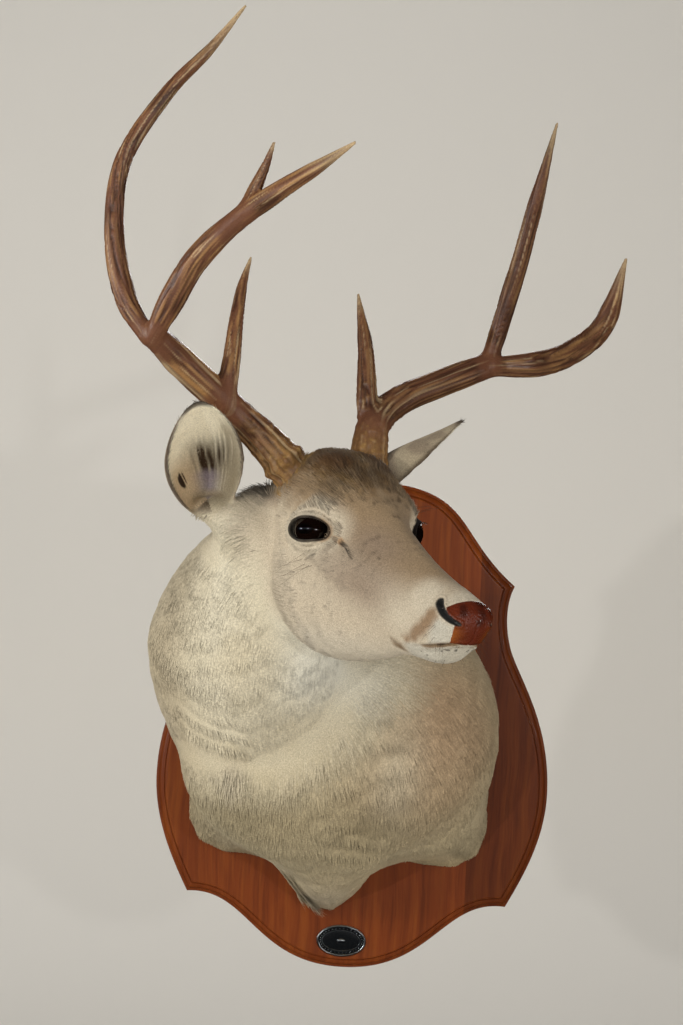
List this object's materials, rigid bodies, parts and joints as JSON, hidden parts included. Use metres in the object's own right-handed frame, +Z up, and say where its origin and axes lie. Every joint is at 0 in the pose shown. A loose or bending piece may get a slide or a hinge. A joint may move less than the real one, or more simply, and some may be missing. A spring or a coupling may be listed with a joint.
{
  "type": "white-tailed deer shoulder mount",
  "caption": "White-tailed buck's head, neck and shoulders turned to its left, with branched antlers, mounted on a shield-shaped wooden wall panel with a small oval badge.",
  "frame": {"origin": "centre of the panel's flat back face, which lies against the wall", "axes": "+Y goes into the wall and -Y out into the room, +Z is up, +X is to the right of someone facing the wall; the nose points to -Y and +X"},
  "size_m": [0.4766, 0.5613, 0.9624],
  "materials": {
    "coat": "short pale buff hair over tanned hide",
    "ear_coat": "fine short hair, paler inside",
    "bare_skin": "pebbled, satin, painted red-brown",
    "eye_glass": "polished, near black",
    "antler": null,
    "panel_wood": "varnished orange-brown hardwood",
    "badge_metal": "silver rim round a black field"
  },
  "bodies": {
    "root": {"panel": "panel_wood", "badge": "badge_metal", "head": "coat", "lower_jaw": "coat", "nose_pad": "bare_skin", "neck": "coat", "shoulder_left": "coat", "shoulder_right": "coat", "chest": "coat", "ear_left": "ear_coat", "ear_right": "ear_coat", "eye_left": "eye_glass", "eye_right": "eye_glass", "antler_right_beam": "antler", "antler_right_brow_tine": "antler", "antler_right_fore_beam": "antler", "antler_right_fore_tine": "antler", "antler_right_long_tine": "antler", "antler_left_beam": "antler", "antler_left_brow_tine": "antler", "antler_left_fore_beam": "antler", "antler_left_back_tine": "antler"}
  },
  "joints": []
}
